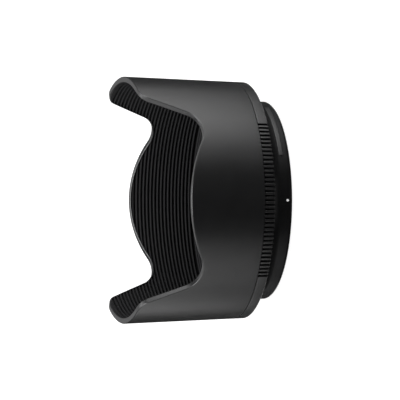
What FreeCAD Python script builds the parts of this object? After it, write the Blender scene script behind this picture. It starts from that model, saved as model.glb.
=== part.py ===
import FreeCAD, Part
import math
import os

# Bayonet lens hood with four petals.
# Frame: origin at the centre of the rear rim, +Z along the optical axis towards the subject,
# +X through one long petal, -Y through the short petal above the index dot.
# Lengths are millimetres and angles are degrees. Angles around the axis start at +X towards +Y.

V = FreeCAD.Vector
AXIS_POINT = V(0, 0, 0)
AXIS_DIR = V(0, 0, 1)

# ---- lens side: the ring that the hood slides over -------------------------------------------
LENS_RING_R = 41.9          # radius of the lens's front ring
GUIDE_CLEARANCE = 0.1       # radial clearance between that ring and the hood's bore

# ---- mount collar ----------------------------------------------------------------------------
COLLAR_WALL = 2.75          # radial thickness of the collar
COLLAR_LEN = 10.8           # rear rim to the rear face of the body
RIM_ROUND = 1.5             # rounding of the rear rim's outer edge
BORE_CHAMFER = 0.4          # lead-in at the mouth of the bore
COVE_R = 5.3                # hollow fillet between the collar and the body's rear face
FLANGE_T = 2.0              # thickness of the flange that carries the shell
STOP_LIP_H = 1.1            # inward height of the lip that the lens's front edge meets
STOP_LIP_T = 1.2            # axial thickness of that lip

# ---- bayonet lugs inside the collar ----------------------------------------------------------
LUG_ANGLES = (30.0, 150.0, 270.0)
LUG_SPAN = 44.0
LUG_H = 1.4                 # how far a lug stands into the bore
LUG_REAR_Z = 3.3
LUG_T = 1.9

# ---- body: grip ring and petal shell ---------------------------------------------------------
BODY_STEP = 8.75            # radial step from the collar out to the body
BODY_FLARE = 2.33           # half angle by which the body widens towards the front
OVERALL_LEN = 66.8          # rear rim to the tips of the long petals
GRIP_LEN = 4.5              # axial length of the grip ring
GRIP_T = 2.8                # radial thickness of the grip ring at its rear edge
GRIP_LIP_H = 1.7            # inward height of the lip that holds the grip ring
GRIP_LIP_T = 1.6            # axial thickness of that lip
SEAM_GAP = 0.25             # shadow line between the grip ring and the shell
SEAT_CLEARANCE = 0.1        # clearance of every seat inside the body

SLOT_COUNT = 37             # finger slots on each side of the grip ring
SLOT_PITCH = 2.175          # angle from one slot to the next
SLOT_W = 1.0
SLOT_DEPTH = 1.0
SLOT_SIDES = (90.0, 270.0)  # the slots lie below the two short petals

# ---- petal outline, as seen along Y ----------------------------------------------------------
SHORT_PETAL_TOP = 49.7      # height of a short petal's middle
SHORT_PETAL_ARC = 57.0      # radius of the short petal's edge
NOTCH_HALF_ANGLE = 47.3     # from a short petal's middle to the flank, at the short petal's height
FLANK_SLOPE = 68.6          # slope of the flank from the horizontal
VALLEY_R = 8.85             # rounding between the short petal and the flank
TIP_R = 5.2                 # rounding of the long petal's corners

# ---- inside of the shell ---------------------------------------------------------------------
WALL = 2.6                  # wall with the baffle ridges
BAFFLE_DEPTH = 0.9          # depth of the grooves between the ridges
BAFFLE_PITCH = 1.65
BAFFLE_CREST = 0.3          # flat width of a ridge
BAFFLE_FIRST_Z = 21.8       # height of the rearmost ridge
TIP_LAND = 1.2              # smooth stretch between the last ridge and the long petals' tips
WEB_T = 2.5                 # thickness of the shell's inner web
THROAT_STEP = 1.2           # radial step from the bore out to the web's opening
FOOT_W = 4.4                # radial width of the foot under the web
BAFFLE_RING_T = 1.0         # thickness of the rear baffle ring at its inner edge
BAFFLE_RING_RISE = 3.4      # height of the rear baffle ring at its outer edge
BAFFLE_RING_STEPS = 5

# ---- shell screws ----------------------------------------------------------------------------
SCREW_COUNT = 6
SCREW_FIRST_ANGLE = 30.0
SCREW_R = 0.85
SCREW_HEAD_R = 1.7
SCREW_HEAD_H = 1.1
SCREW_BITE = 1.7            # length of shank in the flange
SCREW_HOLE_CLEARANCE = 0.15
SCREW_PILOT_CLEARANCE = 0.02
SCREW_HEAD_CLEARANCE = 0.15
DRIVE_W = 0.45              # width of the cross recess
DRIVE_L = 2.0
DRIVE_DEPTH = 0.6

# ---- click stop: pocket, cover, leaf spring and pawl -----------------------------------------
POCKET_Z = 4.35             # middle of the pocket
POCKET_W = 2.2
POCKET_ANGLE = 317.5        # direction of the pawl
POCKET_SPAN = 42.6
POCKET_FLOOR_T = 1.0        # wall left between the bore and the pocket
COVER_CLEARANCE = 0.08
COVER_T = 0.8
COVER_PROUD = 0.3           # how far the cover stands out of the collar
COVER_FOOT_SPAN = 2.5       # angle of the feet that clamp the spring's ends
SPRING_T = 0.2
SPRING_END_SPAN = 3.0       # angle of a flat end of the spring
SPRING_RAMP_SPAN = 9.0      # angle over which the spring climbs to the pawl's head
SPRING_SEAT = 0.08          # clearance between the spring and the pawl's head
PAWL_W = 1.6                # along Z
PAWL_L = 2.4                # around the collar
PAWL_HEAD_W = 1.9
PAWL_HEAD_L = 3.6
PAWL_HEAD_T = 0.35
PAWL_REACH = 0.65           # how far the nose stands into the bore
PAWL_NOSE_R = 1.6
PAWL_CLEARANCE = 0.05

# ---- index dot -------------------------------------------------------------------------------
DOT_R = 0.57
DOT_Z = 2.5
DOT_DEPTH = 0.35
DOT_PROUD = 0.03
DOT_ANGLE = 270.0

# ---- sizes worked out from the ones above ----------------------------------------------------
BORE_R = LENS_RING_R + GUIDE_CLEARANCE
COLLAR_R = BORE_R + COLLAR_WALL
BODY_REAR_R = COLLAR_R + BODY_STEP
THROAT_R = BORE_R + THROAT_STEP
GRIP_BORE_R = BODY_REAR_R - GRIP_T
GRIP_LIP_R = GRIP_BORE_R - GRIP_LIP_H
FLANGE_R = GRIP_BORE_R - SEAT_CLEARANCE
FOOT_OUT_R = GRIP_LIP_R - SEAT_CLEARANCE
FOOT_IN_R = FOOT_OUT_R - FOOT_W
SCREW_CIRCLE_R = (FOOT_OUT_R + FOOT_IN_R) / 2
POCKET_FLOOR_R = BORE_R + POCKET_FLOOR_T
COVER_OUT_R = COLLAR_R + COVER_PROUD
COVER_IN_R = COVER_OUT_R - COVER_T

FLANGE_FRONT_Z = COLLAR_LEN + FLANGE_T
SEAM_Z = COLLAR_LEN + GRIP_LEN
SHELL_REAR_Z = SEAM_Z + SEAM_GAP
WEB_REAR_Z = FLANGE_FRONT_Z + GRIP_LIP_T + SEAT_CLEARANCE
WEB_FRONT_Z = WEB_REAR_Z + WEB_T
HEAD_SEAT_Z = WEB_FRONT_Z - SCREW_HEAD_H - SCREW_HEAD_CLEARANCE
BLANK_TOP_Z = OVERALL_LEN + OVERALL_LEN / 10

OUTSIDE = 6.0               # how far cutting tools reach past the surface they cut
EDGE_REACH = 0.15           # how far the petal edge's faces reach past the wall, as a share of radius
FLANK_POINTS = 9            # points that carry a straight stretch of the petal edge
ARC_POINTS = 13             # points that carry a round stretch of it


def body_radius(z):
    """Outer radius of the flared body at height z."""
    return BODY_REAR_R + (z - COLLAR_LEN) * math.tan(math.radians(BODY_FLARE))


def inner_radius(z):
    """Radius of the ridge crests inside the shell at height z."""
    return body_radius(z) - WALL


def turned(points):
    """Solid of revolution about the optical axis from (radius, z) corners."""
    corners = [V(r, 0, z) for r, z in points]
    wire = Part.makePolygon(corners + corners[:1])
    return Part.Face(wire).revolve(AXIS_POINT, AXIS_DIR, 360)


def swept(r_in, r_out, z_low, z_high, angle, span):
    """Ring sector with a rectangular section, centred on the given angle."""
    corners = [V(r_in, 0, z_low), V(r_out, 0, z_low), V(r_out, 0, z_high), V(r_in, 0, z_high)]
    sector = Part.Face(Part.makePolygon(corners + corners[:1])).revolve(AXIS_POINT, AXIS_DIR, span)
    sector.rotate(AXIS_POINT, AXIS_DIR, angle - span / 2)
    return sector


def around(shape, angle):
    """Copy of a shape turned about the optical axis."""
    copy = shape.copy()
    copy.rotate(AXIS_POINT, AXIS_DIR, angle)
    return copy


def radial_block(r_in, r_out, length, width, z):
    """Block along +X: its length runs around the axis and its width along Z."""
    return Part.makeBox(r_out - r_in, length, width, V(r_in, -length / 2, z - width / 2))


def screw_angles():
    return [SCREW_FIRST_ANGLE + i * 360.0 / SCREW_COUNT for i in range(SCREW_COUNT)]


def screw_cutter(radius, z_low, z_high):
    """Cylinders of one radius at every screw position."""
    pin = Part.makeCylinder(radius, z_high - z_low, V(SCREW_CIRCLE_R, 0, z_low))
    return Part.makeCompound([around(pin, angle) for angle in screw_angles()])


# ---- petal shell -----------------------------------------------------------------------------

def baffle_side():
    """Inner side of the shell from the top down: ridges with flat crests and V grooves."""
    count = int((OVERALL_LEN - TIP_LAND - BAFFLE_FIRST_Z) / BAFFLE_PITCH) + 1
    points = [(inner_radius(BLANK_TOP_Z), BLANK_TOP_Z)]
    for i in reversed(range(count)):
        crest = BAFFLE_FIRST_Z + i * BAFFLE_PITCH
        valley = crest - BAFFLE_PITCH / 2
        for z in (crest + BAFFLE_CREST / 2, crest - BAFFLE_CREST / 2):
            points.append((inner_radius(z), z))
        points.append((inner_radius(valley) + BAFFLE_DEPTH, valley))
    last = BAFFLE_FIRST_Z - BAFFLE_PITCH
    points.append((inner_radius(last), last))
    return points


def shell_blank():
    """Turned shell with its ridges, web and foot, before the petals are cut."""
    top = [(body_radius(BLANK_TOP_Z), BLANK_TOP_Z)]
    web = [
        (inner_radius(WEB_FRONT_Z), WEB_FRONT_Z),
        (THROAT_R, WEB_FRONT_Z),
        (THROAT_R, WEB_REAR_Z),
        (FOOT_IN_R, WEB_REAR_Z),
        (FOOT_IN_R, FLANGE_FRONT_Z),
        (FOOT_OUT_R, FLANGE_FRONT_Z),
        (FOOT_OUT_R, WEB_REAR_Z),
        (GRIP_BORE_R - SEAT_CLEARANCE, WEB_REAR_Z),
        (GRIP_BORE_R - SEAT_CLEARANCE, SHELL_REAR_Z),
    ]
    rear = [(body_radius(SHELL_REAR_Z), SHELL_REAR_Z)]
    return turned(top + baffle_side() + web + rear)


def line_points(start, end):
    """Points on a straight stretch of the side view."""
    shares = [i / (FLANK_POINTS - 1) for i in range(FLANK_POINTS)]
    return [(start[0] + (end[0] - start[0]) * t, start[1] + (end[1] - start[1]) * t) for t in shares]


def arc_points(centre, radius, start, end):
    """Points on an arc of the side view, from one angle in radians to another."""
    steps = [start + (end - start) * i / (ARC_POINTS - 1) for i in range(ARC_POINTS)]
    return [(centre[0] + radius * math.cos(a), centre[1] + radius * math.sin(a)) for a in steps]


def petal_outline():
    """Stretches of the petal edge in the side view (x, z), from a short petal's middle outwards."""
    slope = math.radians(FLANK_SLOPE)
    along = (math.cos(slope), math.sin(slope))
    normal = (-along[1], along[0])
    flank_x = body_radius(SHORT_PETAL_TOP) * math.sin(math.radians(NOTCH_HALF_ANGLE))
    flank = (flank_x, SHORT_PETAL_TOP)
    arc_centre = (0.0, SHORT_PETAL_TOP - SHORT_PETAL_ARC)

    # The valley circle touches the short petal's arc from outside and the flank from the notch side.
    start = (flank[0] + normal[0] * VALLEY_R, flank[1] + normal[1] * VALLEY_R)
    offset = (start[0] - arc_centre[0], start[1] - arc_centre[1])
    half = offset[0] * along[0] + offset[1] * along[1]
    reach = SHORT_PETAL_ARC + VALLEY_R
    travel = -half + math.sqrt(half ** 2 - offset[0] ** 2 - offset[1] ** 2 + reach ** 2)
    valley = (start[0] + along[0] * travel, start[1] + along[1] * travel)
    meeting = math.atan2(valley[1] - arc_centre[1], valley[0] - arc_centre[0])

    # The tip circle touches the flank from the material side and the level of the tips.
    tip_z = OVERALL_LEN - TIP_R
    climb = (tip_z - flank[1] + normal[1] * TIP_R) / along[1]
    tip = (flank[0] - normal[0] * TIP_R + along[0] * climb, tip_z)

    short_arc = arc_points(arc_centre, SHORT_PETAL_ARC, math.pi / 2, meeting)
    valley_arc = arc_points(valley, VALLEY_R, meeting + math.pi, slope + 3 * math.pi / 2)
    tip_arc = arc_points(tip, TIP_R, slope + math.pi / 2, math.pi / 2)
    flank_line = line_points(valley_arc[-1], tip_arc[0])
    return [short_arc, valley_arc, flank_line, tip_arc]


def on_body(point, scale):
    """Side-view point laid on the body's -Y half, then moved along its radius by a scale."""
    x, z = point
    y = -math.sqrt(body_radius(z) ** 2 - x ** 2)
    return V(x * scale, y * scale, z)


def edge_surface(stretch):
    """Face made of lines square to the axis that follows one stretch of the petal edge."""
    edges = []
    for scale in (1 - EDGE_REACH, 1 + EDGE_REACH):
        curve = Part.BSplineCurve()
        curve.interpolate([on_body(point, scale) for point in stretch])
        edges.append(curve.toShape())
    return Part.makeRuledSurface(edges[0], edges[1])


def petal_cutters():
    """Everything above the petal edge: one quarter mirrored to the others, then the tips' level."""
    rise = V(0, 0, 2 * OVERALL_LEN)
    quarter = [edge_surface(stretch).extrude(rise) for stretch in petal_outline()]
    half = quarter + [solid.mirror(AXIS_POINT, V(1, 0, 0)) for solid in quarter]
    notches = half + [solid.mirror(AXIS_POINT, V(0, 1, 0)) for solid in half]
    return notches + [Part.makeCylinder(2 * BODY_REAR_R, OVERALL_LEN, V(0, 0, OVERALL_LEN))]


def petal_shell():
    shell = shell_blank()
    for cutter in petal_cutters():
        shell = shell.cut(cutter)
    shank_hole = screw_cutter(SCREW_R + SCREW_HOLE_CLEARANCE, FLANGE_FRONT_Z - OUTSIDE, WEB_FRONT_Z)
    head_hole = screw_cutter(SCREW_HEAD_R + SCREW_HEAD_CLEARANCE, HEAD_SEAT_Z, WEB_FRONT_Z + OUTSIDE)
    return shell.cut(shank_hole).cut(head_hole)


# ---- grip ring -------------------------------------------------------------------------------

def grip_ring():
    lip_front = FLANGE_FRONT_Z + GRIP_LIP_T
    ring = turned([
        (GRIP_BORE_R, COLLAR_LEN),
        (BODY_REAR_R, COLLAR_LEN),
        (body_radius(SEAM_Z), SEAM_Z),
        (GRIP_BORE_R, SEAM_Z),
        (GRIP_BORE_R, lip_front),
        (GRIP_LIP_R, lip_front),
        (GRIP_LIP_R, FLANGE_FRONT_Z),
        (GRIP_BORE_R, FLANGE_FRONT_Z),
    ])
    floor_r = BODY_REAR_R - SLOT_DEPTH
    middle_z = (COLLAR_LEN + SEAM_Z) / 2
    slot = radial_block(floor_r, floor_r + OUTSIDE, SLOT_W, GRIP_LEN + OUTSIDE, middle_z)
    first = -SLOT_PITCH * (SLOT_COUNT - 1) / 2
    angles = [side + first + i * SLOT_PITCH for side in SLOT_SIDES for i in range(SLOT_COUNT)]
    return ring.cut(Part.makeCompound([around(slot, angle) for angle in angles]))


# ---- mount collar ----------------------------------------------------------------------------

def collar_body():
    """Turned collar: rounded rim, cove up to the flange, bore with its stop lip."""
    lip_r = BORE_R - STOP_LIP_H
    lip_z = FLANGE_FRONT_Z - STOP_LIP_T
    turn = math.sqrt(0.5)
    rim_mid = V(COLLAR_R - RIM_ROUND * (1 - turn), 0, RIM_ROUND * (1 - turn))
    cove_mid = V(COLLAR_R + COVE_R * (1 - turn), 0, COLLAR_LEN - COVE_R * (1 - turn))
    rim_low = V(COLLAR_R - RIM_ROUND, 0, 0)
    rim_high = V(COLLAR_R, 0, RIM_ROUND)
    cove_low = V(COLLAR_R, 0, COLLAR_LEN - COVE_R)
    cove_high = V(COLLAR_R + COVE_R, 0, COLLAR_LEN)
    rest = [
        cove_high,
        V(FLANGE_R, 0, COLLAR_LEN),
        V(FLANGE_R, 0, FLANGE_FRONT_Z),
        V(lip_r, 0, FLANGE_FRONT_Z),
        V(lip_r, 0, lip_z),
        V(BORE_R, 0, lip_z),
        V(BORE_R, 0, BORE_CHAMFER),
        V(BORE_R + BORE_CHAMFER, 0, 0),
        rim_low,
    ]
    edges = [Part.Arc(rim_low, rim_mid, rim_high).toShape()]
    edges.append(Part.makeLine(rim_high, cove_low))
    edges.append(Part.Arc(cove_low, cove_mid, cove_high).toShape())
    edges += [Part.makeLine(a, b) for a, b in zip(rest, rest[1:])]
    return Part.Face(Part.Wire(edges)).revolve(AXIS_POINT, AXIS_DIR, 360)


def mount_collar():
    collar = collar_body()
    root_r = BORE_R + POCKET_FLOOR_T / 2
    front_z = LUG_REAR_Z + LUG_T
    for angle in LUG_ANGLES:
        collar = collar.fuse(swept(BORE_R - LUG_H, root_r, LUG_REAR_Z, front_z, angle, LUG_SPAN))
    low = POCKET_Z - POCKET_W / 2
    pocket = swept(POCKET_FLOOR_R, COLLAR_R + OUTSIDE, low, low + POCKET_W, POCKET_ANGLE, POCKET_SPAN)
    window_l = PAWL_L + 2 * PAWL_CLEARANCE
    window_w = PAWL_W + 2 * PAWL_CLEARANCE
    window = radial_block(BORE_R - OUTSIDE, COLLAR_R, window_l, window_w, POCKET_Z)
    recess = radial_dot(COLLAR_R - DOT_DEPTH, COLLAR_R + OUTSIDE)
    pilot_low = FLANGE_FRONT_Z - SCREW_BITE
    pilots = screw_cutter(SCREW_R + SCREW_PILOT_CLEARANCE, pilot_low, FLANGE_FRONT_Z + OUTSIDE)
    for tool in (pocket, around(window, POCKET_ANGLE), recess, pilots):
        collar = collar.cut(tool)
    return collar.removeSplitter()


# ---- rear baffle ring ------------------------------------------------------------------------

def rear_baffle_ring():
    """Stepped funnel that covers the screw heads and stops light from the web."""
    outer_r = inner_radius(WEB_FRONT_Z) - SEAT_CLEARANCE
    top_z = WEB_FRONT_Z + BAFFLE_RING_RISE
    rim_z = WEB_FRONT_Z + BAFFLE_RING_T
    tread = (outer_r - THROAT_R) / (BAFFLE_RING_STEPS + 1)
    riser = (top_z - rim_z) / BAFFLE_RING_STEPS
    points = [(THROAT_R, WEB_FRONT_Z), (outer_r, WEB_FRONT_Z), (outer_r, top_z)]
    for i in reversed(range(BAFFLE_RING_STEPS)):
        r = THROAT_R + (i + 1) * tread
        points.append((r, rim_z + (i + 1) * riser))
        points.append((r, rim_z + i * riser))
    points.append((THROAT_R, rim_z))
    return turned(points)


# ---- shell screws ----------------------------------------------------------------------------

def shell_screw():
    shank_z = FLANGE_FRONT_Z - SCREW_BITE
    shank = Part.makeCylinder(SCREW_R, HEAD_SEAT_Z - shank_z, V(SCREW_CIRCLE_R, 0, shank_z))
    head = Part.makeCylinder(SCREW_HEAD_R, SCREW_HEAD_H, V(SCREW_CIRCLE_R, 0, HEAD_SEAT_Z))
    recess_z = HEAD_SEAT_Z + SCREW_HEAD_H - DRIVE_DEPTH
    screw = shank.fuse(head)
    for length, width in ((DRIVE_L, DRIVE_W), (DRIVE_W, DRIVE_L)):
        corner = V(SCREW_CIRCLE_R - length / 2, -width / 2, recess_z)
        screw = screw.cut(Part.makeBox(length, width, DRIVE_DEPTH + OUTSIDE, corner))
    return screw.removeSplitter()


def shell_screws():
    screw = shell_screw()
    return Part.makeCompound([around(screw, angle) for angle in screw_angles()])


# ---- click stop ------------------------------------------------------------------------------

def detent_cover():
    """Raised bar that closes the pocket. Its two feet clamp the ends of the leaf spring."""
    width = POCKET_W - 2 * COVER_CLEARANCE
    low = POCKET_Z - width / 2
    side_gap = math.degrees(COVER_CLEARANCE / POCKET_FLOOR_R)
    span = POCKET_SPAN - 2 * side_gap
    cover = swept(COVER_IN_R, COVER_OUT_R, low, low + width, POCKET_ANGLE, span)
    foot_r = POCKET_FLOOR_R + SPRING_T
    for side in (-1, 1):
        angle = POCKET_ANGLE + side * (span - COVER_FOOT_SPAN) / 2
        foot = swept(foot_r, COVER_IN_R + COVER_T / 2, low, low + width, angle, COVER_FOOT_SPAN)
        cover = cover.fuse(foot)
    return cover.removeSplitter()


def detent_spring():
    """Leaf spring: flat ends on the pocket's floor, ramps, and a middle over the pawl's head."""
    over_head = POCKET_FLOOR_R + PAWL_HEAD_T + SPRING_SEAT
    half = POCKET_SPAN / 2 - math.degrees(COVER_CLEARANCE / POCKET_FLOOR_R)
    flat = half - SPRING_END_SPAN
    middle = flat - SPRING_RAMP_SPAN
    width = PAWL_W

    def at(radius, angle):
        a = math.radians(POCKET_ANGLE + angle)
        return V(radius * math.cos(a), radius * math.sin(a), POCKET_Z - width / 2)

    def side(lift):
        low = POCKET_FLOOR_R + lift
        high = over_head + lift
        return [
            Part.Arc(at(low, -half), at(low, -(half + flat) / 2), at(low, -flat)).toShape(),
            Part.makeLine(at(low, -flat), at(high, -middle)),
            Part.Arc(at(high, -middle), at(high, 0), at(high, middle)).toShape(),
            Part.makeLine(at(high, middle), at(low, flat)),
            Part.Arc(at(low, flat), at(low, (half + flat) / 2), at(low, half)).toShape(),
        ]

    ends = [Part.makeLine(at(POCKET_FLOOR_R, a), at(POCKET_FLOOR_R + SPRING_T, a)) for a in (-half, half)]
    outline = side(0) + side(SPRING_T) + ends
    wire = Part.Wire(Part.__sortEdges__(outline))
    return Part.Face(wire).extrude(V(0, 0, width))


def detent_pawl():
    """Sliding nub with a rounded nose in the bore and a flat head in the pocket."""
    nose_r = BORE_R - PAWL_REACH
    stem = radial_block(nose_r, POCKET_FLOOR_R, PAWL_L, PAWL_W, POCKET_Z)
    rounding = Part.makeCylinder(PAWL_NOSE_R, PAWL_W, V(nose_r + PAWL_NOSE_R, 0, POCKET_Z - PAWL_W / 2))
    guide = radial_block(nose_r + PAWL_NOSE_R, POCKET_FLOOR_R, PAWL_L, PAWL_W, POCKET_Z)
    stem = stem.common(rounding.fuse(guide))
    head = radial_block(POCKET_FLOOR_R, POCKET_FLOOR_R + PAWL_HEAD_T, PAWL_HEAD_L, PAWL_HEAD_W, POCKET_Z)
    return around(stem.fuse(head).removeSplitter(), POCKET_ANGLE)


# ---- index dot -------------------------------------------------------------------------------

def radial_dot(r_in, r_out):
    """Short cylinder that points away from the axis at the index position."""
    dot = Part.makeCylinder(DOT_R, r_out - r_in, V(r_in, 0, DOT_Z), V(1, 0, 0))
    return around(dot, DOT_ANGLE)


def index_dot():
    return radial_dot(COLLAR_R - DOT_DEPTH, COLLAR_R + DOT_PROUD)


PIECES = {
    "petal_shell": petal_shell,
    "grip_ring": grip_ring,
    "mount_collar": mount_collar,
    "rear_baffle_ring": rear_baffle_ring,
    "shell_screws": shell_screws,
    "detent_cover": detent_cover,
    "detent_spring": detent_spring,
    "detent_pawl": detent_pawl,
    "index_dot": index_dot,
}

os.makedirs("parts", exist_ok=True)
for name, make in PIECES.items():
    make().exportStep("parts/" + name + ".step")
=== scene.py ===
import math

import bmesh
import bpy
import numpy as np
from mathutils import Matrix, Vector

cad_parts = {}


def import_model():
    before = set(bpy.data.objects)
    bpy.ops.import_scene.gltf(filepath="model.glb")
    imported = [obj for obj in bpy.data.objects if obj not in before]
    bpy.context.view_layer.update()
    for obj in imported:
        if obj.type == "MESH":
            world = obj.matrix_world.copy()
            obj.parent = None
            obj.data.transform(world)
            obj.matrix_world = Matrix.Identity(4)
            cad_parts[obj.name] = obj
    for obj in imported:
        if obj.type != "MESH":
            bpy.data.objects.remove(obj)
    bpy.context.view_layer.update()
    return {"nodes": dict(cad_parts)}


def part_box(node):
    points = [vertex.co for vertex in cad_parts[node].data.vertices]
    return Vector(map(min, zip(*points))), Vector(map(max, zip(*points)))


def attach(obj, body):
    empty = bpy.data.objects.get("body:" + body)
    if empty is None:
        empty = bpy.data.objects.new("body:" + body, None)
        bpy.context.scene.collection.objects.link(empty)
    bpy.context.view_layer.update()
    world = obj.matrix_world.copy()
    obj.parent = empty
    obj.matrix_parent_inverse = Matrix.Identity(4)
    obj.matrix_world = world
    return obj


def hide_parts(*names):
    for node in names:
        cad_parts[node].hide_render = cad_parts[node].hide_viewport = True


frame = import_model()

MM = 0.001

# ---- sizes, in millimetres, the same as the CAD's ---------------------------------------------
BORE_R = 42.0
BORE_CHAMFER = 0.4
COLLAR_R = 44.75
COLLAR_LEN = 10.8
RIM_ROUND = 1.5
COVE_R = 5.3
FLANGE_R = 50.6
FLANGE_FRONT_Z = 12.8
STOP_LIP_R = 40.9
STOP_LIP_Z = 11.6
LUG_ANGLES = (30.0, 150.0, 270.0)
LUG_SPAN = 44.0
LUG_H = 1.4
LUG_REAR_Z = 3.3
LUG_FRONT_Z = 5.2

BODY_REAR_R = 53.5
BODY_FLARE = 2.33
SEAM_Z = 15.3
SHELL_REAR_Z = 15.55
OVERALL_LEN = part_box("petal_shell")[1].z / MM
GRIP_BORE_R = 50.7
GRIP_LIP_R = 49.0
GRIP_LIP_Z = 14.4
SLOT_COUNT = 37
SLOT_PITCH = 2.175
SLOT_W = 1.0
SLOT_DEPTH = 1.0
SLOT_SIDES = (90.0, 270.0)

SHORT_PETAL_TOP = 49.7
SHORT_PETAL_ARC = 57.0
NOTCH_HALF_ANGLE = 47.3
FLANK_SLOPE = 68.6
VALLEY_R = 8.85
TIP_R = 5.2

WALL = 2.6
BAFFLE_DEPTH = 0.9
BAFFLE_PITCH = 1.65
BAFFLE_CREST = 0.3
BAFFLE_FIRST_Z = 21.8
TIP_LAND = 1.2
RIM_LAND = 0.15
RIM_OUT_ROUND = 0.4
RIM_IN_ROUND = 0.45
THROAT_R = 43.2
WEB_FRONT_Z = 17.0
WEB_REAR_Z = 14.5
FOOT_IN_R = 44.5
FOOT_OUT_R = 48.9
BAFFLE_RING_T = 1.0
BAFFLE_RING_RISE = 3.4
BAFFLE_RING_STEPS = 5

POCKET_Z = 4.35
POCKET_W = 2.2
POCKET_ANGLE = 317.5
POCKET_SPAN = 42.6
POCKET_FLOOR_R = 43.0
COVER_IN_R = 44.25
COVER_OUT_R = 45.05
COVER_GAP = 0.08
WINDOW_L = 2.5
WINDOW_W = 1.7
DOT_R = 0.57
DOT_Z = 2.5
DOT_PROUD = 0.03

SCREW_CIRCLE_R = 46.7
SCREW_HOLE_R = 1.0
SCREW_HEAD_HOLE_R = 1.85
SCREW_SEAT_Z = 15.75
SCREW_ANGLES = [30.0 + 60.0 * i for i in range(6)]

# Small roundings and gaps of the visual model, and how finely the curves are cut.
SHELL_REAR_EDGE = 0.15
GRIP_REAR_EDGE = 0.35
GRIP_FRONT_EDGE = 0.15
SLOT_EDGE_W = 0.16
SLOT_EDGE_DEPTH = 0.16
SLOT_EDGE_MID = 0.05
COLLAR_EDGE = 0.2
LUG_RAMP = 0.45
BAFFLE_STEP_EDGE = 0.12
COVER_EDGE = 0.22
RING_GAP = 0.1
DOT_SUNK = 0.3
RING_STEPS = 360
TIP_STEPS = 16
OUTER_STEPS = 10
COVER_STEPS = 48
DOT_STEPS = 48
ROUNDING_TURNS = [math.radians(a) for a in (0, 18, 36, 54, 72, 90)]


def body_radius(z):
    return BODY_REAR_R + (z - COLLAR_LEN) * math.tan(math.radians(BODY_FLARE))


def polar(r, angle, z):
    """Point at a radius, an angle from +X in degrees and a height, in metres."""
    a = math.radians(angle)
    return (r * math.cos(a) * MM, r * math.sin(a) * MM, z * MM)


# ---- mesh helpers ------------------------------------------------------------------------------

def finish_mesh(name, bm, sharp=35.0):
    """Clean up a bmesh, shade it smooth between its sharp edges and make it an object."""
    bmesh.ops.remove_doubles(bm, verts=bm.verts, dist=2e-7)
    bmesh.ops.dissolve_degenerate(bm, edges=bm.edges, dist=1e-7)
    bmesh.ops.recalc_face_normals(bm, faces=bm.faces)
    mesh = bpy.data.meshes.new(name)
    bm.to_mesh(mesh)
    bm.free()
    mesh.shade_smooth()
    mesh.set_sharp_from_angle(angle=math.radians(sharp))
    piece = bpy.data.objects.new(name, mesh)
    bpy.context.scene.collection.objects.link(piece)
    return piece


def ring(name, columns, slots=None, sharp=35.0):
    """Closed solid from sections that run round the axis. Every column is a closed loop of points."""
    bm = bmesh.new()
    rows = [[bm.verts.new(p) for p in column] for column in columns]
    count = len(columns[0])
    for i, row in enumerate(rows):
        after = rows[(i + 1) % len(rows)]
        for j in range(count):
            k = (j + 1) % count
            face = bm.faces.new((row[j], after[j], after[k], row[k]))
            if slots:
                face.material_index = slots[j]
    return finish_mesh(name, bm, sharp)


def turned(name, section, sharp=35.0):
    """Ring with the same section all the way round."""
    angles = [360.0 * i / RING_STEPS for i in range(RING_STEPS)]
    return ring(name, [[polar(r, a, z) for r, z in section] for a in angles], sharp=sharp)


def arc(centre, radius, start, end, count):
    """Points (r, z) on an arc from one angle in degrees to another."""
    steps = [math.radians(start + (end - start) * i / (count - 1)) for i in range(count)]
    return [(centre[0] + radius * math.cos(a), centre[1] + radius * math.sin(a)) for a in steps]


def carve(piece, cutters):
    """Cut other meshes out of a piece for good."""
    for cutter in cutters:
        tool = piece.modifiers.new("cut", "BOOLEAN")
        tool.operation = "DIFFERENCE"
        tool.solver = "MANIFOLD"
        tool.object = cutter
        done = bpy.data.meshes.new_from_object(piece.evaluated_get(bpy.context.evaluated_depsgraph_get()))
        piece.modifiers.clear()
        piece.data = done
        bpy.data.objects.remove(cutter)
    piece.data.set_sharp_from_angle(angle=math.radians(35))
    return piece


def even_normals(piece):
    """Let the large faces lead the shading, so that a small rounding stays a small rounding."""
    normals = piece.modifiers.new("even_normals", "WEIGHTED_NORMAL")
    normals.keep_sharp = True
    normals.weight = 60


def post(radius, low, high, angle, r_mid):
    """Upright cylinder used as a cutter."""
    bm = bmesh.new()
    x, y, z = polar(r_mid, angle, (low + high) / 2)
    place = Matrix.Translation((x, y, z))
    bmesh.ops.create_cone(bm, cap_ends=True, segments=32, radius1=radius * MM, radius2=radius * MM,
                          depth=(high - low) * MM, matrix=place)
    return finish_mesh("cutter", bm)


def block(r_in, r_out, length, width, z, angle):
    """Radial block used as a cutter."""
    bm = bmesh.new()
    size = Matrix.Diagonal(((r_out - r_in) * MM, length * MM, width * MM, 1))
    out = Matrix.Translation(((r_in + r_out) / 2 * MM, 0, z * MM))
    place = Matrix.Rotation(math.radians(angle), 4, "Z") @ out
    bmesh.ops.create_cube(bm, size=1.0, matrix=place @ size)
    return finish_mesh("cutter", bm)


# ---- petal shell -------------------------------------------------------------------------------

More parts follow.
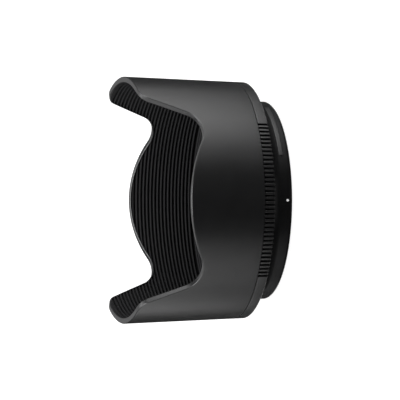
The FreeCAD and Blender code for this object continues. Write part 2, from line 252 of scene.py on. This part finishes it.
def quarter_outline():
    """Petal edge in the side view (x, z), from a short petal's middle to the flat of a long petal."""
    slope = math.radians(FLANK_SLOPE)
    along = np.array((math.cos(slope), math.sin(slope)))
    normal = np.array((-along[1], along[0]))
    flank_x = body_radius(SHORT_PETAL_TOP) * math.sin(math.radians(NOTCH_HALF_ANGLE))
    flank = np.array((flank_x, SHORT_PETAL_TOP))
    centre = np.array((0.0, SHORT_PETAL_TOP - SHORT_PETAL_ARC))
    start = flank + normal * VALLEY_R
    offset = start - centre
    half = offset @ along
    travel = -half + math.sqrt(half ** 2 - offset @ offset + (SHORT_PETAL_ARC + VALLEY_R) ** 2)
    valley = start + along * travel
    meeting = math.degrees(math.atan2(valley[1] - centre[1], valley[0] - centre[0]))
    tip_z = OVERALL_LEN - TIP_R
    tip_x = flank[0] - normal[0] * TIP_R + along[0] * (tip_z - flank[1] + normal[1] * TIP_R) / along[1]
    short_arc = arc(centre, SHORT_PETAL_ARC, 90, meeting, 41)
    valley_arc = arc(valley, VALLEY_R, meeting + 180, FLANK_SLOPE + 270, 31)
    tip_arc = arc((tip_x, tip_z), TIP_R, FLANK_SLOPE + 90, 90, 25)
    low, high = valley_arc[-1], tip_arc[0]
    flank_line = []
    for i in range(1, 30):
        flank_line.append((low[0] + (high[0] - low[0]) * i / 30, low[1] + (high[1] - low[1]) * i / 30))
    return short_arc + valley_arc[1:] + flank_line + tip_arc


def petal_edge():
    """Petal edge all round as (angle from +X, height), with the unit normal into the wall."""
    bends = [(math.degrees(math.asin(min(1.0, x / body_radius(z)))), z) for x, z in quarter_outline()]
    last = bends[-1][0]
    bends += [(last + (90 - last) * i / TIP_STEPS, OVERALL_LEN) for i in range(1, TIP_STEPS + 1)]
    near_to_x = [(270 + b, z) for b, z in bends]
    x_to_far = [(90 - b, z) for b, z in reversed(bends[:-1])]
    half = near_to_x[:-1] + [(360.0, OVERALL_LEN)] + [(a + 360, z) for a, z in x_to_far]
    full = half[:-1] + [(2 * 450 - a, z) for a, z in reversed(half)][:-1]
    points = np.array(full)
    span = math.radians(1) * np.array([body_radius(z) for _, z in full])
    before, after = np.roll(points, 1, 0), np.roll(points, -1, 0)
    before[0, 0] -= 360
    after[-1, 0] += 360
    run = (after[:, 0] - before[:, 0]) * span
    rise = after[:, 1] - before[:, 1]
    size = np.hypot(run, rise)
    return points, np.stack([rise / size, -run / size], 1), span


def groove_depth(z):
    """How far the wall is cut back at height z by the V grooves between the ridges."""
    count = int((OVERALL_LEN - TIP_LAND - BAFFLE_FIRST_Z) / BAFFLE_PITCH) + 1
    top = BAFFLE_FIRST_Z + (count - 1) * BAFFLE_PITCH
    if z > top or z < BAFFLE_FIRST_Z - BAFFLE_PITCH:
        return 0.0
    away = abs((z - BAFFLE_FIRST_Z + BAFFLE_PITCH / 2) % BAFFLE_PITCH - BAFFLE_PITCH / 2)
    return BAFFLE_DEPTH * max(0.0, away - BAFFLE_CREST / 2) / (BAFFLE_PITCH / 2 - BAFFLE_CREST / 2)


def groove_levels():
    """Heights at which the ridged wall changes direction, from the top down."""
    levels = []
    z = BAFFLE_FIRST_Z
    while z < OVERALL_LEN - TIP_LAND:
        levels += [z - BAFFLE_PITCH / 2, z - BAFFLE_CREST / 2, z + BAFFLE_CREST / 2]
        z += BAFFLE_PITCH
    return sorted(levels, reverse=True)


def petal_shell():
    """Shell with a rounded petal edge, ridged inside, and a web and foot that the screws pass through."""
    points, normals, span = petal_edge()
    levels = groove_levels()
    rest = [
        (body_radius(WEB_FRONT_Z) - WALL, WEB_FRONT_Z), (THROAT_R, WEB_FRONT_Z), (THROAT_R, WEB_REAR_Z),
        (FOOT_IN_R, WEB_REAR_Z), (FOOT_IN_R, FLANGE_FRONT_Z), (FOOT_OUT_R, FLANGE_FRONT_Z),
        (FOOT_OUT_R, WEB_REAR_Z), (GRIP_BORE_R - RING_GAP, WEB_REAR_Z),
        (GRIP_BORE_R - RING_GAP, SHELL_REAR_Z),
    ]
    edge = SHELL_REAR_EDGE
    columns = []
    for (angle, top), normal, wide in zip(points, normals, span):
        def at(depth, inset):
            z = top + normal[1] * depth
            return (body_radius(z) - inset, angle + normal[0] * depth / wide, z)

        rim = []
        for t in ROUNDING_TURNS:
            rim.append(at(RIM_OUT_ROUND * (1 - math.sin(t)), RIM_OUT_ROUND * (1 - math.cos(t))))
        for t in ROUNDING_TURNS:
            rim.append(at(RIM_IN_ROUND * (1 - math.cos(t)), WALL - RIM_IN_ROUND * (1 - math.sin(t))))
        outer_top, outer_angle = rim[0][2], rim[0][1]
        outer = [(body_radius(SHELL_REAR_Z) - edge, outer_angle, SHELL_REAR_Z)]
        outer.append((body_radius(SHELL_REAR_Z) - edge * 0.3, outer_angle, SHELL_REAR_Z + edge * 0.3))
        for i in range(OUTER_STEPS):
            z = SHELL_REAR_Z + edge + (outer_top - SHELL_REAR_Z - edge) * i / OUTER_STEPS
            outer.append((body_radius(z), outer_angle, z))
        land = at(RIM_IN_ROUND + RIM_LAND, WALL)
        inner_angle, start = land[1], land[2]
        inner = [land]
        for level in [start] + levels:
            z = min(level, start)
            inner.append((body_radius(z) - WALL + groove_depth(z), inner_angle, z))
        base = [(r, inner_angle, z) for r, z in rest]
        columns.append([polar(*p) for p in outer + rim + inner + base])
    slots = [0] * (len(outer) + len(rim)) + [1] * (len(inner) + len(base))
    shell = ring("petal_shell_skin", columns, slots, sharp=28.0)
    low, top = FLANGE_FRONT_Z - 1, WEB_FRONT_Z + 1
    holes = [post(SCREW_HOLE_R, low, top, a, SCREW_CIRCLE_R) for a in SCREW_ANGLES]
    heads = [post(SCREW_HEAD_HOLE_R, SCREW_SEAT_Z, top, a, SCREW_CIRCLE_R) for a in SCREW_ANGLES]
    return carve(shell, holes + heads)


# ---- grip ring ---------------------------------------------------------------------------------

def grip_ring():
    """Band with finger slots behind the short petals and a lip that the collar's flange holds."""
    half_slot = math.degrees(SLOT_W / 2 / BODY_REAR_R)
    soft = math.degrees(SLOT_EDGE_W / BODY_REAR_R)
    stations = []
    first = -SLOT_PITCH * (SLOT_COUNT - 1) / 2
    for side in SLOT_SIDES:
        for i in range(SLOT_COUNT):
            middle = side + first + i * SLOT_PITCH
            stations += [
                (middle - half_slot - soft, 0.0), (middle - half_slot - soft * 0.35, SLOT_EDGE_MID),
                (middle - half_slot, SLOT_EDGE_DEPTH), (middle - half_slot, SLOT_DEPTH),
                (middle, SLOT_DEPTH),
                (middle + half_slot, SLOT_DEPTH), (middle + half_slot, SLOT_EDGE_DEPTH),
                (middle + half_slot + soft * 0.35, SLOT_EDGE_MID), (middle + half_slot + soft, 0.0),
            ]
    smooth = 90 - SLOT_PITCH * SLOT_COUNT / 2
    for middle in (0.0, 180.0):
        stations += [(middle + smooth * (i / 50 - 1) * 0.985, 0.0) for i in range(101)]
    stations.sort(key=lambda s: s[0] % 360)
    columns = []
    rear, front = GRIP_REAR_EDGE, GRIP_FRONT_EDGE
    outside = [
        (COLLAR_LEN, rear), (COLLAR_LEN + rear * 0.1, rear * 0.55), (COLLAR_LEN + rear * 0.3, rear * 0.3),
        (COLLAR_LEN + rear * 0.55, rear * 0.1), (COLLAR_LEN + rear, 0), ((COLLAR_LEN + SEAM_Z) / 2, 0),
        (SEAM_Z - front, 0), (SEAM_Z - front * 0.3, front * 0.3), (SEAM_Z, front),
    ]
    inside = [
        (GRIP_BORE_R, SEAM_Z), (GRIP_BORE_R, GRIP_LIP_Z), (GRIP_LIP_R, GRIP_LIP_Z),
        (GRIP_LIP_R, FLANGE_FRONT_Z), (GRIP_BORE_R, FLANGE_FRONT_Z),
    ]
    for angle, cut in stations:
        section = [(GRIP_BORE_R, COLLAR_LEN)]
        section += [(body_radius(z) - max(cut, inset), z) for z, inset in outside]
        columns.append([polar(r, angle, z) for r, z in section + inside])
    return ring("grip_ring_skin", columns, sharp=40.0)


# ---- mount collar ------------------------------------------------------------------------------

def mount_collar():
    """Collar with a rounded rim, a hollow fillet, bayonet lugs, a stop lip and the click stop's pocket."""
    pocket_low, pocket_high = POCKET_Z - POCKET_W / 2, POCKET_Z + POCKET_W / 2
    rim = arc((COLLAR_R - RIM_ROUND, RIM_ROUND), RIM_ROUND, -90, 0, 9)
    cove = arc((COLLAR_R + COVE_R, COLLAR_LEN - COVE_R), COVE_R, 180, 90, 13)
    lug_ends = [a + s * LUG_SPAN / 2 for a in LUG_ANGLES for s in (-1, 1)]
    pocket_ends = [POCKET_ANGLE + s * POCKET_SPAN / 2 for s in (-1, 1)]
    stations = [(float(a), None) for a in range(0, 360, 1)]
    shares = [0.0, 0.2, 0.5, 0.8, 1.0]
    for end in lug_ends:
        stations += [((end + (s - 0.5) * LUG_RAMP) % 360, None) for s in shares]
    for end in pocket_ends:
        stations += [(end, "out"), (end, "in")]
    stations = [s for s in stations if s[1] or min(abs(s[0] - e) for e in pocket_ends) > 0.05]

    def order(station):
        """By angle, and at a pocket end the side that comes first on the way round."""
        angle, tag = station
        before = angle < POCKET_ANGLE
        return (angle, 0 if tag is None or (tag == "out") == before else 1)

    stations.sort(key=order)
    columns = []
    for angle, tag in stations:
        if tag:
            floor = POCKET_FLOOR_R if tag == "in" else COLLAR_R
        else:
            floor = POCKET_FLOOR_R if abs(angle - POCKET_ANGLE) < POCKET_SPAN / 2 else COLLAR_R
        reach = 0.0
        for middle in LUG_ANGLES:
            away = abs((angle - middle + 180) % 360 - 180)
            share = min(1.0, max(0.0, (LUG_SPAN / 2 + LUG_RAMP / 2 - away) / LUG_RAMP))
            reach = max(reach, share)
        lug_r = BORE_R - LUG_H * math.sqrt(reach * (2 - reach))
        soft = COLLAR_EDGE
        section = rim + [(COLLAR_R, pocket_low), (floor, pocket_low)]
        section += [(floor, pocket_high), (COLLAR_R, pocket_high)]
        section += cove
        section += [(FLANGE_R, COLLAR_LEN), (FLANGE_R, FLANGE_FRONT_Z), (STOP_LIP_R + soft, FLANGE_FRONT_Z),
                    (STOP_LIP_R, FLANGE_FRONT_Z - soft), (STOP_LIP_R, STOP_LIP_Z + soft),
                    (STOP_LIP_R + soft, STOP_LIP_Z), (BORE_R, STOP_LIP_Z)]
        eased = min(BORE_R, lug_r + soft)
        section += [(BORE_R, LUG_FRONT_Z), (eased, LUG_FRONT_Z), (lug_r, LUG_FRONT_Z - soft),
                    (lug_r, LUG_REAR_Z + soft), (eased, LUG_REAR_Z), (BORE_R, LUG_REAR_Z)]
        section += [(BORE_R, BORE_CHAMFER), (BORE_R + BORE_CHAMFER, 0)]
        columns.append([polar(r, angle, z) for r, z in section])
    collar = ring("mount_collar_skin", columns, sharp=35.0)
    window = block(BORE_R - 3, COLLAR_R - 0.2, WINDOW_L, WINDOW_W, POCKET_Z, POCKET_ANGLE)
    return carve(collar, [window])


# ---- rear baffle ring --------------------------------------------------------------------------

def rear_baffle_ring():
    """Stepped ring that lies on the web and covers the screw heads."""
    outer_r = body_radius(WEB_FRONT_Z) - WALL - RING_GAP
    rim_z = WEB_FRONT_Z + BAFFLE_RING_T
    top_z = WEB_FRONT_Z + BAFFLE_RING_RISE
    tread = (outer_r - THROAT_R) / (BAFFLE_RING_STEPS + 1)
    riser = (top_z - rim_z) / BAFFLE_RING_STEPS
    soft = BAFFLE_STEP_EDGE
    section = [(THROAT_R, WEB_FRONT_Z), (outer_r, WEB_FRONT_Z), (outer_r, top_z)]
    for i in reversed(range(BAFFLE_RING_STEPS)):
        r = THROAT_R + (i + 1) * tread
        step_top = rim_z + (i + 1) * riser
        section += [(r + soft, step_top), (r, step_top - soft), (r, rim_z + i * riser)]
    section += [(THROAT_R + soft, rim_z), (THROAT_R, rim_z - soft)]
    return turned("rear_baffle_ring_skin", section)


# ---- raised bar over the click stop ------------------------------------------------------------

def detent_cover():
    """Bar bent round the collar, with softened edges."""
    width = POCKET_W - 2 * COVER_GAP
    low, high = POCKET_Z - width / 2, POCKET_Z + width / 2
    span = POCKET_SPAN - 2 * math.degrees(COVER_GAP / POCKET_FLOOR_R)
    angles = [POCKET_ANGLE - span / 2 + span * i / COVER_STEPS for i in range(COVER_STEPS + 1)]
    bm = bmesh.new()
    rows = []
    for angle in angles:
        corners = [(COVER_IN_R, low), (COVER_OUT_R, low), (COVER_OUT_R, high), (COVER_IN_R, high)]
        rows.append([bm.verts.new(polar(r, angle, z)) for r, z in corners])
    for row, after in zip(rows, rows[1:]):
        for j in range(4):
            k = (j + 1) % 4
            bm.faces.new((row[j], after[j], after[k], row[k]))
    bm.faces.new(rows[0])
    bm.faces.new(list(reversed(rows[-1])))
    bmesh.ops.recalc_face_normals(bm, faces=bm.faces)
    bm.normal_update()
    hard = [e for e in bm.edges if e.calc_face_angle(0.0) > math.radians(40)]
    bmesh.ops.bevel(bm, geom=hard, offset=COVER_EDGE * MM, segments=4, profile=0.5, affect="EDGES")
    return finish_mesh("detent_cover_skin", bm)


# ---- index dot ---------------------------------------------------------------------------------

def index_dot():
    """Paint-filled dimple: a slightly domed disc with a soft edge."""
    bm = bmesh.new()
    rings = [(1.0, -DOT_SUNK), (1.0, DOT_PROUD * 0.2), (0.97, DOT_PROUD * 0.6)]
    rings += [(0.9, DOT_PROUD * 0.85), (0.6, DOT_PROUD)]
    rows = []
    for share, out in rings:
        row = []
        for i in range(DOT_STEPS):
            a = 2 * math.pi * i / DOT_STEPS
            x, dz = DOT_R * share * math.cos(a), DOT_R * share * math.sin(a)
            row.append(bm.verts.new((x * MM, -(COLLAR_R + out) * MM, (DOT_Z + dz) * MM)))
        rows.append(row)
    for row, after in zip(rows, rows[1:]):
        for j in range(DOT_STEPS):
            k = (j + 1) % DOT_STEPS
            bm.faces.new((row[j], row[k], after[k], after[j]))
    bm.faces.new(rows[0])
    bm.faces.new(rows[-1])
    return finish_mesh("index_dot_skin", bm)


# ---- materials ---------------------------------------------------------------------------------

def material(name):
    mat = bpy.data.materials.new(name)
    mat.use_nodes = True
    nodes, links = mat.node_tree.nodes, mat.node_tree.links
    return mat, nodes, links, nodes["Principled BSDF"]


def noise(nodes, links, scale, detail=3.0, roughness=0.6, where=None):
    node = nodes.new("ShaderNodeTexNoise")
    node.inputs["Scale"].default_value = scale
    node.inputs["Detail"].default_value = detail
    node.inputs["Roughness"].default_value = roughness
    if where is None:
        where = nodes.new("ShaderNodeTexCoord").outputs["Object"]
    links.new(where, node.inputs["Vector"])
    return node.outputs["Fac"]


def ramp(nodes, links, value, low, high, at=(0.3, 0.7)):
    node = nodes.new("ShaderNodeMapRange")
    node.inputs["From Min"].default_value = at[0]
    node.inputs["From Max"].default_value = at[1]
    node.inputs["To Min"].default_value = low
    node.inputs["To Max"].default_value = high
    links.new(value, node.inputs["Value"])
    return node.outputs["Result"]


def tint(nodes, links, share, low, high):
    node = nodes.new("ShaderNodeMix")
    node.data_type = "RGBA"
    node.inputs["A"].default_value = (*low, 1)
    node.inputs["B"].default_value = (*high, 1)
    links.new(share, node.inputs["Factor"])
    return node.outputs["Result"]


def bump(nodes, links, height, distance, strength, under=None):
    node = nodes.new("ShaderNodeBump")
    node.inputs["Distance"].default_value = distance
    node.inputs["Strength"].default_value = strength
    links.new(height, node.inputs["Height"])
    if under is not None:
        links.new(under, node.inputs["Normal"])
    return node.outputs["Normal"]


def moulded(name, dark, light, rough, grain, specular=0.5, worn=0.25):
    """Black moulded plastic: spark-eroded grain, uneven sheen and edges rubbed slightly lighter."""
    mat, nodes, links, shader = material(name)
    cloud = noise(nodes, links, 90.0, 4.0)
    speck = noise(nodes, links, 5200.0, 2.0, 0.7)
    fine = noise(nodes, links, 2300.0, 3.0, 0.65)
    share = ramp(nodes, links, cloud, 0.0, 1.0)
    colour = tint(nodes, links, share, dark, light)
    edge = nodes.new("ShaderNodeNewGeometry").outputs["Pointiness"]
    rubbed = nodes.new("ShaderNodeMix")
    rubbed.data_type = "RGBA"
    rubbed.inputs["B"].default_value = tuple(c * 3.0 + 0.01 for c in light) + (1,)
    links.new(colour, rubbed.inputs["A"])
    links.new(ramp(nodes, links, edge, 0.0, worn, (0.52, 0.6)), rubbed.inputs["Factor"])
    links.new(rubbed.outputs["Result"], shader.inputs["Base Color"])
    links.new(ramp(nodes, links, speck, rough - 0.04, rough + 0.05), shader.inputs["Roughness"])
    shader.inputs["Specular IOR Level"].default_value = specular
    coarse = bump(nodes, links, fine, 0.00006, grain)
    links.new(bump(nodes, links, speck, 0.00003, grain, coarse), shader.inputs["Normal"])
    return mat


def flocked(name):
    """Dead-matte black of the ridged inside."""
    mat, nodes, links, shader = material(name)
    speck = noise(nodes, links, 4200.0, 3.0, 0.7)
    share = ramp(nodes, links, speck, 0.0, 1.0)
    colour = tint(nodes, links, share, (0.012, 0.012, 0.0125), (0.022, 0.022, 0.023))
    links.new(colour, shader.inputs["Base Color"])
    links.new(ramp(nodes, links, speck, 0.55, 0.7), shader.inputs["Roughness"])
    shader.inputs["Specular IOR Level"].default_value = 0.06
    links.new(bump(nodes, links, speck, 0.00004, 0.4), shader.inputs["Normal"])
    return mat


def paint(name):
    """White paint, very slightly uneven, with a painted glow of its own (emission, not a lamp) to keep it
    paper white.
    """
    mat, nodes, links, shader = material(name)
    speck = noise(nodes, links, 2600.0, 3.0)
    share = ramp(nodes, links, speck, 0.0, 1.0)
    colour = tint(nodes, links, share, (0.8, 0.8, 0.79), (0.92, 0.92, 0.91))
    links.new(colour, shader.inputs["Base Color"])
    links.new(ramp(nodes, links, speck, 0.35, 0.5), shader.inputs["Roughness"])
    links.new(bump(nodes, links, speck, 0.00002, 0.3), shader.inputs["Normal"])
    # painted light: the dot glows by itself so that it stays paper white whatever the lamps do
    shader.inputs["Emission Color"].default_value = (1, 1, 1, 1)
    shader.inputs["Emission Strength"].default_value = 0.35
    return mat


def steel(name, low, high, rough):
    """Brushed or blackened steel with fine scratches."""
    mat, nodes, links, shader = material(name)
    place = nodes.new("ShaderNodeMapping")
    place.inputs["Scale"].default_value = (1.0, 1.0, 14.0)
    links.new(nodes.new("ShaderNodeTexCoord").outputs["Object"], place.inputs["Vector"])
    scratch = noise(nodes, links, 1500.0, 4.0, 0.7, place.outputs["Vector"])
    colour = tint(nodes, links, ramp(nodes, links, scratch, 0.0, 1.0), low, high)
    links.new(colour, shader.inputs["Base Color"])
    links.new(ramp(nodes, links, scratch, rough - 0.08, rough + 0.1), shader.inputs["Roughness"])
    shader.inputs["Metallic"].default_value = 1.0
    links.new(bump(nodes, links, scratch, 0.00002, 0.25), shader.inputs["Normal"])
    return mat


def dress(node, mat):
    """Give a CAD node a finished material."""
    obj = frame["nodes"][node]
    if not obj.material_slots:
        obj.data.materials.append(mat)
    for slot in obj.material_slots:
        slot.material = mat


# ---- put the pieces on the frame ---------------------------------------------------------------

body_mat = moulded("body_matte", (0.009, 0.009, 0.0094), (0.0125, 0.0125, 0.013), 0.34, 0.22)
collar_mat = moulded("collar_satin", (0.009, 0.009, 0.0094), (0.0125, 0.0125, 0.013), 0.33, 0.1, 0.12, 0.1)
cover_mat = moulded("cover_matte", (0.009, 0.009, 0.0094), (0.0125, 0.0125, 0.013), 0.36, 0.18, 0.4)
inside_mat = flocked("inside_flock")
paint_mat = paint("index_paint")
screw_mat = steel("screw_black", (0.03, 0.03, 0.032), (0.08, 0.08, 0.085), 0.4)
spring_mat = steel("spring_strip", (0.42, 0.42, 0.44), (0.62, 0.62, 0.64), 0.28)
pawl_mat = moulded("pawl_acetal", (0.012, 0.012, 0.012), (0.02, 0.02, 0.02), 0.28, 0.05)

PIECES = (
    (petal_shell, "petal_shell", "body_plastic", (body_mat, inside_mat)),
    (grip_ring, "grip_ring", "grip_plastic", (body_mat,)),
    (mount_collar, "mount_collar", "collar_plastic", (collar_mat,)),
    (rear_baffle_ring, "rear_baffle_ring", "baffle_black", (inside_mat,)),
    (detent_cover, "detent_cover", "cover_plastic", (cover_mat,)),
    (index_dot, "index_dot", "index_white", (paint_mat,)),
)
for make, node, slot, mats in PIECES:
    piece = make()
    for i, mat in enumerate(mats):
        if i < len(piece.data.materials):
            piece.data.materials[i] = mat
        else:
            piece.data.materials.append(mat)
    even_normals(piece)
    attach(piece, "hood")
    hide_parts(node)

dress("shell_screws", screw_mat)
dress("detent_spring", spring_mat)
dress("detent_pawl", pawl_mat)


# ---- floor, lights and camera ------------------------------------------------------------------

FLOOR_HALF = 6.0
FLOOR_DROP = 0.0002   # keeps the floor off the rim that stands on it


def floor():
    """Pale floor that lights nothing, so that the softboxes alone shape the hood."""
    bm = bmesh.new()
    bmesh.ops.create_grid(bm, x_segments=1, y_segments=1, size=FLOOR_HALF)
    plane = finish_mesh("floor", bm)
    mat, nodes, links, shader = material("floor_pale")
    speck = noise(nodes, links, 3.0)
    share = ramp(nodes, links, speck, 0.0, 1.0)
    links.new(tint(nodes, links, share, (0.30, 0.30, 0.30), (0.31, 0.31, 0.31)), shader.inputs["Base Color"])
    shader.inputs["Roughness"].default_value = 0.9
    shader.inputs["Specular IOR Level"].default_value = 0.0
    shader.inputs["Emission Color"].default_value = (1, 1, 1, 1)
    shader.inputs["Emission Strength"].default_value = 0.95
    plane.data.materials.append(mat)
    plane.visible_diffuse = False
    plane.visible_glossy = False
    plane.visible_shadow = False
    plane.location.z = -FLOOR_DROP


def softbox(azimuth, elevation, distance, power):
    """Area light that looks at the hood's middle."""
    turn, rise = math.radians(azimuth), math.radians(elevation)
    out = Vector((math.cos(rise) * math.sin(turn), -math.cos(rise) * math.cos(turn), math.sin(rise)))
    light = bpy.data.lights.new("softbox", "AREA")
    light.shape = "RECTANGLE"
    light.size, light.size_y = (spread * distance for spread in SOFTBOX_SPREAD)
    light.energy = power
    lamp = bpy.data.objects.new("softbox", light)
    lamp.location = LIGHT_AIM + out * distance
    lamp.rotation_mode = "QUATERNION"
    lamp.rotation_quaternion = (-out).to_track_quat("-Z", "Y")
    bpy.context.scene.collection.objects.link(lamp)


def world():
    """Black studio that the camera sees as white paper."""
    sky = bpy.data.worlds.new("studio")
    sky.use_nodes = True
    nodes, links = sky.node_tree.nodes, sky.node_tree.links
    unlit = nodes["Background"]
    unlit.inputs["Color"].default_value = (0, 0, 0, 1)
    paper = nodes.new("ShaderNodeBackground")
    paper.inputs["Color"].default_value = (1, 1, 1, 1)
    mix = nodes.new("ShaderNodeMixShader")
    links.new(nodes.new("ShaderNodeLightPath").outputs["Is Camera Ray"], mix.inputs["Fac"])
    links.new(unlit.outputs["Background"], mix.inputs[1])
    links.new(paper.outputs["Background"], mix.inputs[2])
    links.new(mix.outputs["Shader"], nodes["World Output"].inputs["Surface"])
    bpy.context.scene.world = sky


CAMERA_TILT = math.radians(15.42)
CAMERA_DISTANCE = 2.718
CAMERA_AIM = Vector((0.0001, 0.0, 0.03077))
CAMERA_LENS = 540.6


def camera():
    """Level with the hood's side, 15 degrees above it, turned on its side so that +X is up."""
    data = bpy.data.cameras.new("camera")
    data.lens = CAMERA_LENS
    data.sensor_width = 36.0
    data.clip_start, data.clip_end = 0.1, 50.0
    cam = bpy.data.objects.new("camera", data)
    back = Vector((0.0, -math.cos(CAMERA_TILT), math.sin(CAMERA_TILT)))
    up = Vector((1.0, 0.0, 0.0))
    right = up.cross(back)
    place = Matrix((right, up, back)).transposed().to_4x4()
    place.translation = CAMERA_AIM + back * CAMERA_DISTANCE
    cam.matrix_world = place
    bpy.context.scene.collection.objects.link(cam)
    bpy.context.scene.camera = cam


# Softboxes round the hood: azimuth from -Y towards +X and elevation in degrees, distance in metres
# and power in watts. The first ten rake the sides, the next four light the rims and the inside from
# above and the collar from below, one gives the rims' flat faces a sheen, and the last two light
# the back.
SOFTBOXES = (
    (50, 0, 0.55, 0.48), (70, 0, 0.55, 1.25), (90, 0, 0.55, 0.92), (112, 0, 0.55, 0.36),
    (-50, 0, 0.55, 0.44), (-70, 0, 0.55, 0.56), (-90, 0, 0.55, 0.33), (-115, 0, 0.55, 0.42),
    (78, 32, 0.36, 0.37), (-74, 32, 0.36, 0.26),
    (0, 75, 0.55, 4.8), (180, 65, 0.55, 0.9), (-90, 60, 0.55, 0.42), (0, -70, 0.55, 0.16),
    (180, 15, 0.55, 0.14), (160, -40, 0.55, 0.6), (-160, -40, 0.55, 0.6),
)
SOFTBOX_SPREAD = (0.45, 0.64)   # width and height of a softbox, as shares of its distance
LIGHT_AIM = Vector((0.0, 0.0, 0.035))

floor()
for placing in SOFTBOXES:
    softbox(*placing)
world()
camera()
bpy.context.scene.view_settings.view_transform = "Standard"
